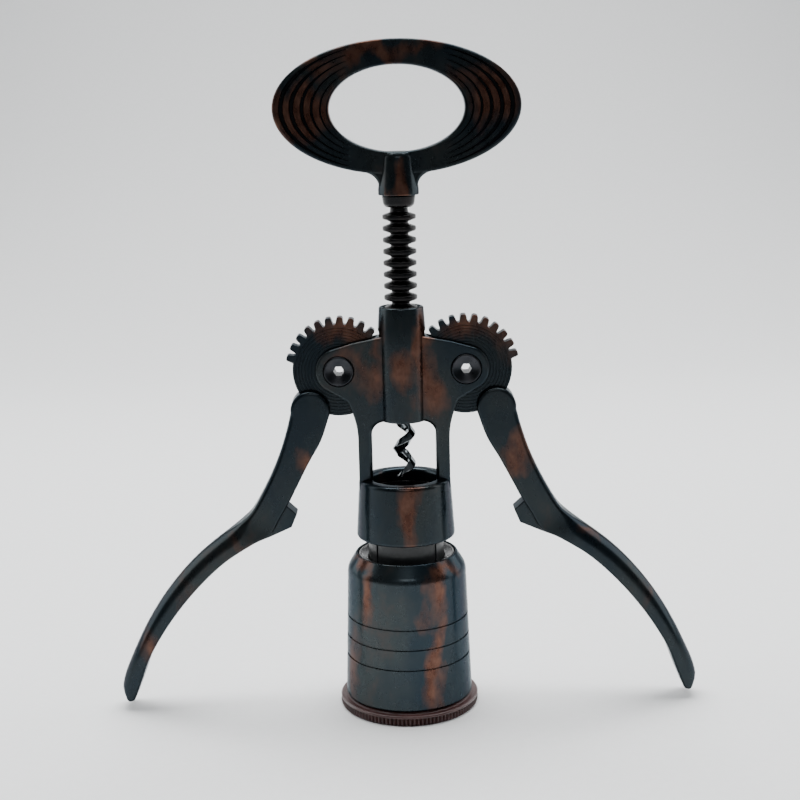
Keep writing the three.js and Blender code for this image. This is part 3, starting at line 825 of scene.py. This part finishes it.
def make_nut(x):
    """Dished nut at the back with a sleeve round the screw's shank and a hexagonal bore."""
    shank_hole = 3.9
    sleeve = 4.8
    dish = 4.7
    profile = [(shank_hole, -SLEEVE_END, 0.3), (sleeve, -SLEEVE_END, 0.3), (sleeve, 4.7, 0)]
    profile += dished_rim(1) + [(2.6, dish + 0.1, 0.5), (2.0, dish, 0), (0, dish, 0)]
    profile += [(0, 3.7, 0), (shank_hole, 3.7, 0)]
    nut = lathe("nut_dished", rounded(profile), 96, "Y", (x, 0, PIVOT_Z))
    return combine(nut, [key_bore(x, 3, 7)], "DIFFERENCE")


def make_pivot_bush(x):
    outer = 6.1
    profile = rounded([(SLEEVE_HOLE, -WHEEL_HALF, 0.2), (outer, -WHEEL_HALF, 0.2),
                       (outer, WHEEL_HALF, 0.2), (SLEEVE_HOLE, WHEEL_HALF, 0.2)])
    return lathe("bush_turned", profile, 96, "Y", (x, 0, PIVOT_Z))


# ---- levers --------------------------------------------------

WHEEL_HALF = 2.6
FULL_WHEEL_TEETH = 28
TEETH = 17
PITCH_RADIUS = GEAR_MODULE * FULL_WHEEL_TEETH / 2
ROOT_RADIUS = 19.13


def gear_outline():
    """Outline points of the toothed wheel about its own centre, anticlockwise."""
    step = 2 * math.pi / FULL_WHEEL_TEETH
    meshing_height = -0.84
    meshing = math.pi - math.asin(meshing_height / PITCH_RADIUS)
    last = meshing + 3 * step
    first = last - (TEETH - 1) * step
    flank = [(ROOT_RADIUS, -2.1), (19.2, -1.8), (19.5, -1.6), (20.2, -1.48), (PITCH_RADIUS, -1.38),
             (21.7, -1.24), (22.04, -1.06), (22.24, -0.74), (22.3, -0.28)]
    tooth = flank + [(r, -t) for r, t in reversed(flank)]
    points = []
    for k in range(TEETH):
        for r, t in tooth:
            angle = first + k * step + t / r
            points.append((r * math.cos(angle), r * math.sin(angle)))
    half_tooth = 0.11
    blank = 2 * math.pi - (TEETH - 1) * step - 2 * half_tooth
    count = 64
    for k in range(1, count):
        angle = last + half_tooth + blank * k / count
        points.append((ROOT_RADIUS * math.cos(angle), ROOT_RADIUS * math.sin(angle)))
    return points


def make_wheel():
    """The toothed wheel, with fine turned grooves on both faces."""
    half = WHEEL_HALF
    bore = 6.4
    section = [(bore, 0), (bore, half - 0.2), (bore + 0.2, half)]
    groove_pitch = 1.32
    groove_floor = half - 0.3
    radius = 9.6
    while radius < 18.3:
        section += [(radius, half), (radius + 0.16, groove_floor), (radius + 0.5, groove_floor),
                    (radius + 0.66, half)]
        radius += groove_pitch
    section.append((18.75, half))
    outline = gear_outline()
    edge = 0.18
    vertices = []
    for x, z in outline:
        length = math.hypot(x, z)
        ux, uz = x / length, z / length
        face_x, face_z = x - ux * edge, z - uz * edge
        front = [(ux * r, -y, uz * r) for r, y in section]
        rim = [(face_x, -half, face_z), (x, -half + edge, z), (x, half - edge, z),
               (face_x, half, face_z)]
        back = [(ux * r, y, uz * r) for r, y in reversed(section[1:])]
        vertices += front + rim + back
    count = len(vertices) // len(outline)
    return new_object("wheel", vertices, ring_faces(len(outline), count, closed=True), 30)


# Points on the right arm's inner and outer edge, in pairs from the wheel to the tip,
# as (x, z) about the pivot.
ARM_PAIRS = [
    ((4.2, -17.9), (20.7, -17.6)), ((8.1, -28.9), (22.3, -23.8)), ((13.2, -37.8), (25.4, -33.4)),
    ((17.9, -46.7), (29.3, -42.8)), ((22.5, -55.6), (34.2, -52.3)), ((26.6, -62.5), (38.8, -59.8)),
    ((30.8, -69.5), (43.5, -64.2)), ((37.5, -72.9), (47.5, -67.1)), ((43.6, -76.4), (51.5, -69.9)),
    ((50.1, -80.7), (57.0, -74.1)), ((56.5, -86.1), (63.5, -79.7)), ((63.0, -92.6), (70.0, -86.4)),
    ((69.0, -99.4), (76.0, -93.7)), ((74.5, -106.5), (81.6, -101.6)), ((80.1, -114.8), (87.2, -111.1)),
    ((85.0, -123.6), (92.0, -120.8)), ((88.6, -133.0), (96.1, -130.0)),
    ((91.2, -139.4), (97.75, -135.6)), ((92.5, -142.3), (97.7, -138.8)),
    ((94.2, -143.1), (96.8, -141.0)),
]
HEAD = (12.4, 0, -16.4)
HEAD_RADIUS = 8.2


def arm_section(width, grip):
    """Points (u, y) round an arm's section, u across from its inner edge and y through it.

    grip goes from 0, a flat bar, to 1, a round-backed grip.
    """
    half = 6.0 + 1.4 * grip
    outer_u = min(width * 0.5, 2.0) * (1 - grip) + width * 0.62 * grip
    outer_y = 2.0 * (1 - grip) + (half - 0.6) * grip
    inner_u = min(width * 0.3, 1.1)
    inner_y = 1.1 + 0.6 * grip
    steps = 7
    top = []
    for k in range(steps + 1):
        turn = math.pi / 2 * k / steps
        top.append((inner_u * (1 - math.cos(turn)), half - inner_y * (1 - math.sin(turn))))
    for k in range(steps + 1):
        turn = math.pi / 2 * k / steps
        top.append((width - outer_u * (1 - math.sin(turn)), half - outer_y * (1 - math.cos(turn))))
    return top + [(u, -y) for u, y in reversed(top)]


def make_arm():
    """The right arm about its pivot, with its head, its stop lug and room for the wheel."""
    per_pair = 5
    inner = spline([pair[0] for pair in ARM_PAIRS], per_pair)
    outer = spline([pair[1] for pair in ARM_PAIRS], per_pair)
    vertices = []
    for i, (a, b) in enumerate(zip(inner, outer)):
        at = i / per_pair
        grip = min(1.0, max(0.0, (at - 5.0) / 3.2))
        grip = grip * grip * (3 - 2 * grip)
        width = math.dist(a, b)
        thin = 1 - 0.12 * max(0.0, (at - 15) / 3)
        for u, y in arm_section(width, grip):
            share = u / width
            vertices.append((a[0] + (b[0] - a[0]) * share, y * thin, a[1] + (b[1] - a[1]) * share))
    rings = len(inner)
    arm = new_object("arm", vertices, ring_faces(rings, len(vertices) // rings), 40)
    half = 6
    head_profile = [(0, -half, 0), (HEAD_RADIUS, -half, 1.5), (HEAD_RADIUS, half, 1.5), (0, half, 0)]
    head = lathe("head", rounded(head_profile), 96, "Y", HEAD)
    lug = prism("lug", [(23.6, -57.2), (19.5, -61.0), (21.9, -66.6), (31.0, -70.6), (37.5, -73.2),
                        (38.0, -68.0), (33.0, -62.0), (28.0, -56.0)], round_rail(4.6, 0.5, 3))
    combine(arm, [head, lug], "UNION")
    wing_room = 10.7
    past = 9
    relief_profile = [(0, -past, 0), (wing_room, -past, 0), (wing_room, past, 0), (0, past, 0)]
    relief = lathe("relief", rounded(relief_profile), 120, "Y")
    return combine(arm, [relief], "DIFFERENCE")


def make_lever(side):
    arm = make_arm()
    combine(arm, [make_wheel()], "UNION", 34)
    if side < 0:
        arm.data.transform(Matrix.Rotation(math.pi, 4, "Z"))
    arm.data.transform(Matrix.Translation((side * PIVOT_X * MM, 0, PIVOT_Z * MM)))
    return arm


# ---- handle --------------------------------------------------

HANDLE_HALF_WIDTH = 50.0
HANDLE_HALF_HEIGHT = 26.7
HANDLE_MIDDLE = HANDLE_TOP - HANDLE_HALF_HEIGHT
HANDLE_HALF = 4.3
HOLE_HALF_WIDTH = 27.3
HOLE_HALF_HEIGHT = 17.2
HOLE_MIDDLE = HANDLE_MIDDLE - 0.5
GROOVES = ((19.4, 1.1), (15.9, 1.4), (12.0, 1.7), (7.8, 1.9), (3.6, 2.0))
GROOVE_DEPTH = 0.75


def handle_plate():
    """The flat oval ring, with crescent grooves that fade out above and below the hole."""
    half = HANDLE_HALF
    reach = HANDLE_HALF_WIDTH - HOLE_HALF_WIDTH
    edge = 1.4
    turns = [math.pi / 2 * k / 5 for k in range(6)]
    # Each point is (distance from the hole, y, spread across a groove, share of its depth).
    front = [(edge * (1 - math.cos(t)), half - edge * (1 - math.sin(t)), 0.0, 0.0) for t in turns]
    for from_rim, width in GROOVES:
        at = reach - from_rim
        front += [(at, half, -width / 2, 0.0), (at, half, -width * 0.33, 1.0),
                  (at, half, width * 0.33, 1.0), (at, half, width / 2, 0.0)]
    front += [(reach - edge * (1 - math.sin(t)), half - edge * (1 - math.cos(t)), 0.0, 0.0)
              for t in turns]
    vertices = []
    steps = 288
    for s in range(steps):
        turn = 2 * math.pi * s / steps
        inside = Vector((HOLE_HALF_WIDTH * math.cos(turn),
                         HOLE_MIDDLE + HOLE_HALF_HEIGHT * math.sin(turn)))
        outside = Vector((HANDLE_HALF_WIDTH * math.cos(turn),
                          HANDLE_MIDDLE + HANDLE_HALF_HEIGHT * math.sin(turn)))
        across = outside - inside
        column = []
        for distance, y, spread, cut in front:
            spot = inside + across * (distance / reach)
            fade = min(1.0, max(0.0, (abs(spot.x) - 19.0) / 20.0)) ** 0.6
            spot = inside + across * ((distance + spread * (0.12 + 0.88 * fade)) / reach)
            column.append((spot.x, y - GROOVE_DEPTH * cut * min(1.0, 2.2 * fade), spot.y))
        vertices += column + [(x, -y, z) for x, y, z in reversed(column)]
    faces = ring_faces(steps, len(vertices) // steps, closed=True)
    return new_object("handle_grooved", vertices, faces, 32)


def make_handle():
    plate = handle_plate()
    low = BOSS_BOTTOM
    hole_low = HOLE_MIDDLE - HOLE_HALF_HEIGHT
    boss = lathe("boss", rounded([
        (0, low, 0), (BOSS_RADIUS, low, 0.5), (BOSS_RADIUS, low + 3.4, 3),
        (7.0, hole_low - 1.4, 1.6), (5.6, hole_low + 0.2, 0.6), (0, hole_low + 0.2, 0),
    ]), 96)
    webs = []
    web_x = 14.5
    rim_drop = HANDLE_HALF_HEIGHT * math.sqrt(1 - (web_x / HANDLE_HALF_WIDTH) ** 2)
    for side in (1, -1):
        curve = bezier((web_x, HANDLE_MIDDLE - rim_drop + 0.15), (8.6, low + 8.6),
                       (BOSS_RADIUS - 0.5, low + 3.6), 10)
        web = curve[::-1] + [(13.5, low + 12.0), (3.0, low + 13.0), (3.0, low + 4.0)]
        if side < 0:
            web = [(-x, z) for x, z in reversed(web)]
        webs.append(prism("web", web, round_rail(HANDLE_HALF - 0.15, 1.2)))
    combine(plate, [combine(boss, webs, "UNION")], "UNION")
    spindle_hole = SPINDLE_RADIUS + GAP
    hole_end = low + 12.3
    bore = lathe("bore", rounded([(0, low - 1, 0), (spindle_hole, low - 1, 0),
                                  (spindle_hole, hole_end, 0), (0, hole_end, 0)]), 48)
    pin_hole = 1.55
    past = 12
    cross_profile = [(0, -past, 0), (pin_hole, -past, 0), (pin_hole, past, 0), (0, past, 0)]
    cross = lathe("cross", rounded(cross_profile), 32, "Y")
    cross.data.transform(Matrix.Rotation(math.pi / 2, 4, "Z"))
    cross.data.transform(Matrix.Translation((0, 0, (low + 4) * MM)))
    return combine(plate, [bore, cross], "DIFFERENCE", 34)


# ---- assembly ------------------------------------------------

def around(radius, degrees, height):
    """A point on a vertical cylinder; 0 degrees faces the front and 90 the right."""
    angle = math.radians(degrees)
    return (radius * math.sin(angle), -radius * math.cos(angle), height)


frame_patina = patina("patina_frame", [
    ((2.5, -19, 96), (5.5, 12, 14), 0.75), ((1, -20, 84), (4.5, 10, 14), 0.6),
    ((1, -9, 148), (5, 10, 12), 0.8), ((8, -7, 158), (4, 9, 16), 0.75), ((-7, -7, 160), (3, 9, 14), 0.4),
    ((-13, -6, 143), (7, 8, 12), 0.65), ((13, -6, 141), (7, 8, 14), 0.7),
    ((11, -6, 156), (7, 8, 5), 0.5), ((-24, -6, 151), (10, 8, 6), 0.35),
    ((-14, 6, 140), (9, 8, 12), 0.6), ((8, 9, 155), (9, 9, 14), 0.6),
    ((-12, 16, 86), (9, 10, 16), 0.6), ((15, 4, 112), (5, 8, 10), 0.4),
], background=0.40, seed=0.013, depth=0.72)
bell_patina = patina("patina_bell", [
    (around(25.5, -43, 52), (5, 6, 17), 0.65), (around(26.5, -62, 20), (7, 9, 24), 0.55),
    (around(25, 27, 54), (6.5, 6, 16), 0.75), (around(26.5, 24, 30), (5, 6, 12), 0.8),
    (around(26.8, 26, 13), (7, 6, 15), 0.8), (around(24, -62, 65), (8, 11, 6), 0.8),
    (around(23.5, 42, 66), (13, 8, 6), 0.65), (around(27, 80, 50), (6, 9, 15), 0.4),
    (around(26, 120, 35), (9, 9, 34), 0.65), (around(26, -140, 30), (10, 10, 30), 0.65),
    (around(26, 178, 46), (7, 8, 24), 0.5),
], background=0.40, seed=0.031)
handle_patina = patina("patina_handle", [
    ((-35, 0, 250), (15, 12, 11), 1.1), ((-48, 0, 251), (5, 12, 14), 0.7),
    ((-10, 0, 276), (19, 12, 6), 1.0), ((11, 0, 279), (12, 12, 4), 0.6), ((-30, 0, 269), (9, 12, 6), 0.5),
    ((40, 0, 255), (13, 12, 15), 1.1), ((30, 0, 268), (9, 12, 7), 0.5),
    ((0.5, -8, 224), (5, 6, 13), 1.3), ((-2, 8, 224), (6, 6, 9), 0.9),
], background=0.38, seed=0.047, depth=0.62)


def lever_spots(side):
    """Patches on a lever, from its pivot outwards; the two levers have their own."""
    spots = [
        ((16, 0, -40), (7, 12, 10), 0.85), ((0, 0, 17), (17, 12, 8), 0.75),
        ((-12, 0, 14), (9, 12, 7), 0.4),
        ((43, 0, -70), (8, 12, 4), 0.4), ((68, 0, -91), (6, 12, 7), 0.4),
        ((84, 0, -116), (7, 12, 12), 0.7),
    ] if side < 0 else [
        ((21, 0, -36), (10, 12, 9), 1.0), ((2, 0, 19), (18, 12, 7), 0.6),
        ((15, 0, 12), (8, 12, 9), 0.45),
        ((50, 0, -71), (10, 12, 4), 0.4), ((76, 0, -98), (5, 12, 7), 0.2),
    ]
    return [((side * (PIVOT_X + x), y, PIVOT_Z + z), radii, strength)
            for (x, y, z), radii, strength in spots]


dark_steel = mottled("dark_steel", (0.012, 0.013, 0.014), (0.024, 0.022, 0.022), 0.30, (1, 1, 6))
# near-black material for the handle's groove floors: painted shade in the grooves
groove_shade_paint = mottled("painted_groove_shade", (0.003, 0.004, 0.005), (0.008, 0.008, 0.009), 0.5)
screw_steel = mottled("blackened_steel", (0.020, 0.024, 0.028), (0.038, 0.038, 0.042), 0.32)
bright_steel = mottled("bright_steel", (0.16, 0.18, 0.19), (0.27, 0.29, 0.30), 0.12, (1, 1, 3))
spring_steel = mottled("spring_steel", (0.36, 0.36, 0.37), (0.50, 0.49, 0.48), 0.22, (1, 1, 3))
bush_bronze = mottled("bearing_bronze", (0.30, 0.17, 0.07), (0.42, 0.25, 0.11), 0.30, (1, 1, 3))
black_plastic = mottled("black_plastic", (0.006, 0.006, 0.007), (0.012, 0.012, 0.013), 0.24,
                        metallic=0.0, coat=0.2)
tube_plastic = mottled("tube_plastic", (0.006, 0.008, 0.009), (0.011, 0.014, 0.016), 0.46,
                       metallic=0.0, coat=0.1)
brown_plastic = mottled("brown_plastic", (0.038, 0.014, 0.013), (0.058, 0.021, 0.019), 0.36,
                        metallic=0.0, coat=0.1, bump_by=0.12)


def paint_groove_shade(handle):
    """Gives the grooves' floors a near-black material as painted shade: faces below the plate, inside its
    rim.
    """
    handle.data.materials.append(groove_shade_paint)
    floor_low, floor_high = HANDLE_HALF - 0.9, HANDLE_HALF - 0.15
    for face in handle.data.polygons:
        x, y, z = (c / MM for c in face.center)
        rim_x = x / (HANDLE_HALF_WIDTH - 1)
        rim_z = (z - HANDLE_MIDDLE) / (HANDLE_HALF_HEIGHT - 1)
        beside_hole = abs(x) > 17 and rim_x ** 2 + rim_z ** 2 < 1
        if beside_hole and floor_low < abs(y) < floor_high and abs(face.normal.y) > 0.6:
            face.material_index = 1


place(make_frame(), "frame", frame_patina, "patina", "frame")
place(make_seat_ring(), "frame", black_plastic, "black_plastic", "bottle_seat_ring")
place(make_tube(), "frame", tube_plastic, "black_plastic", "bottle_tube")
place(make_stop_ring(), "frame", dark_steel, "dark_steel", "bell_stop_ring")
spring = make_spring()
place(spring, "frame", spring_steel, "bright_steel", "bell_spring")
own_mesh(spring)
place(make_bell(), "bell", bell_patina, "patina", "bell")
place(make_bush(), "bell", black_plastic, "black_plastic", "bell_guide_bush")
place(make_base_ring(), "bell", brown_plastic, "brown_plastic", "bell_base_ring")
place(make_rack(), "rack", dark_steel, "dark_steel", "rack_sleeve")
place(make_spindle(), "screw", dark_steel, "dark_steel", "spindle")
handle = make_handle()
place(handle, "screw", handle_patina, "patina", "handle")
# paints shade onto the handle's groove floors
paint_groove_shade(handle)
place(make_pin("cross_pin_domed", "handle_cross_pin", True), "screw", dark_steel, "dark_steel",
      "handle_cross_pin")
place(make_socket(), "screw", dark_steel, "dark_steel", "worm_socket")
place(make_worm(), "screw", bright_steel, "bright_steel", "worm")
place(make_pin("lock_pin_domed", "worm_lock_pin", False), "screw", dark_steel, "dark_steel",
      "worm_lock_pin")
for name, side in (("left", -1), ("right", 1)):
    lever_patina = patina(f"patina_{name}_lever", lever_spots(side), 0.38, 0.06 + 0.02 * side, 0.62)
    lever = make_lever(side)
    lever.name = f"{name}_lever_fine"
    place(lever, f"{name}_lever", lever_patina, "patina", f"{name}_lever")
    bush = make_pivot_bush(side * PIVOT_X)
    bush.name = f"{name}_bush_turned"
    place(bush, f"{name}_lever", bush_bronze, "bronze", f"{name}_pivot_bush")
    screw = make_screw(side * PIVOT_X)
    screw.name = f"{name}_screw_dished"
    place(screw, "frame", screw_steel, "dark_steel", f"{name}_pivot_screw")
    nut = make_nut(side * PIVOT_X)
    nut.name = f"{name}_nut_dished"
    place(nut, "frame", screw_steel, "dark_steel", f"{name}_pivot_nut")


# ---- floor and light -----------------------------------------

def make_floor():
    """A pale sweep in metres: flat floor, a wide curve and a wall, made as one sheet."""
    half_width = 3.0
    bend_start = 0.75
    bend_radius = 0.9
    wall_top = 3.2
    steps = 24
    profile = [(-3.0, 0.0), (bend_start, 0.0)]
    for k in range(1, steps + 1):
        turn = math.pi / 2 * k / steps
        profile.append((bend_start + bend_radius * math.sin(turn), bend_radius * (1 - math.cos(turn))))
    profile.append((bend_start + bend_radius, wall_top))
    vertices = [(side * half_width, y, z) for side in (-1, 1) for y, z in profile]
    count = len(profile)
    faces = [(i, count + i, count + i + 1, i + 1) for i in range(count - 1)]
    mesh = bpy.data.meshes.new("floor_sweep")
    mesh.from_pydata(vertices, [], faces)
    mesh.polygons.foreach_set("use_smooth", [True] * len(mesh.polygons))
    floor = bpy.data.objects.new("floor_sweep", mesh)
    bpy.context.scene.collection.objects.link(floor)
    material, nodes, links, shader = new_material("paper")
    coords = nodes.new("ShaderNodeTexCoord").outputs["Object"]
    fibre = noise_node(nodes, links, coords, 260, 4, 0.6)
    links.new(ramp_node(nodes, links, fibre, [(0.3, (0.775, 0.785, 0.79)), (0.7, (0.80, 0.81, 0.815))]),
              shader.inputs["Base Color"])
    shader.inputs["Roughness"].default_value = 0.62
    mesh.materials.append(material)


def area_light(name, place_at, aim, width, height, power):
    data = bpy.data.lights.new(name, "AREA")
    data.shape = "RECTANGLE"
    data.size = width
    data.size_y = height
    data.energy = power
    light = bpy.data.objects.new(name, data)
    bpy.context.scene.collection.objects.link(light)
    light.location = place_at
    light.rotation_euler = (Vector(aim) - Vector(place_at)).to_track_quat("-Z", "Y").to_euler()


make_floor()
area_light("left_wall", (-0.95, 0.35, 0.45), (0, 0.05, 0.1), 1.0, 0.8, 6.5)
area_light("right_wall", (0.95, 0.35, 0.45), (0, 0.05, 0.1), 1.0, 0.8, 6.5)
area_light("top", (0, 0.22, 0.95), (0, 0.16, 0), 1.0, 0.6, 24)
area_light("back_wall", (0, 0.55, 0.9), (0, 1.6, 0.55), 1.6, 0.5, 9)
area_light("front_fill", (0, -1.3, 0.9), (0, 0, 0.1), 0.7, 0.3, 2.5)

world = bpy.data.worlds.new("studio")
bpy.context.scene.world = world
world.use_nodes = True
world_nodes = world.node_tree.nodes
world_links = world.node_tree.links
direction = world_nodes.new("ShaderNodeTexCoord").outputs["Generated"]
split = world_nodes.new("ShaderNodeSeparateXYZ")
world_links.new(direction, split.inputs[0])
lift = math_node(world_nodes, world_links, "MULTIPLY", split.outputs["Z"], 0.3)
inward = math_node(world_nodes, world_links, "ADD", split.outputs["Y"], lift)
depth = ramp_node(world_nodes, world_links, inward,
                  [(0.0, (0.13, 0.14, 0.15)), (0.55, (0.62, 0.64, 0.66))])
sky = world_nodes["Background"]
world_links.new(depth, sky.inputs["Color"])
sky.inputs["Strength"].default_value = 0.8
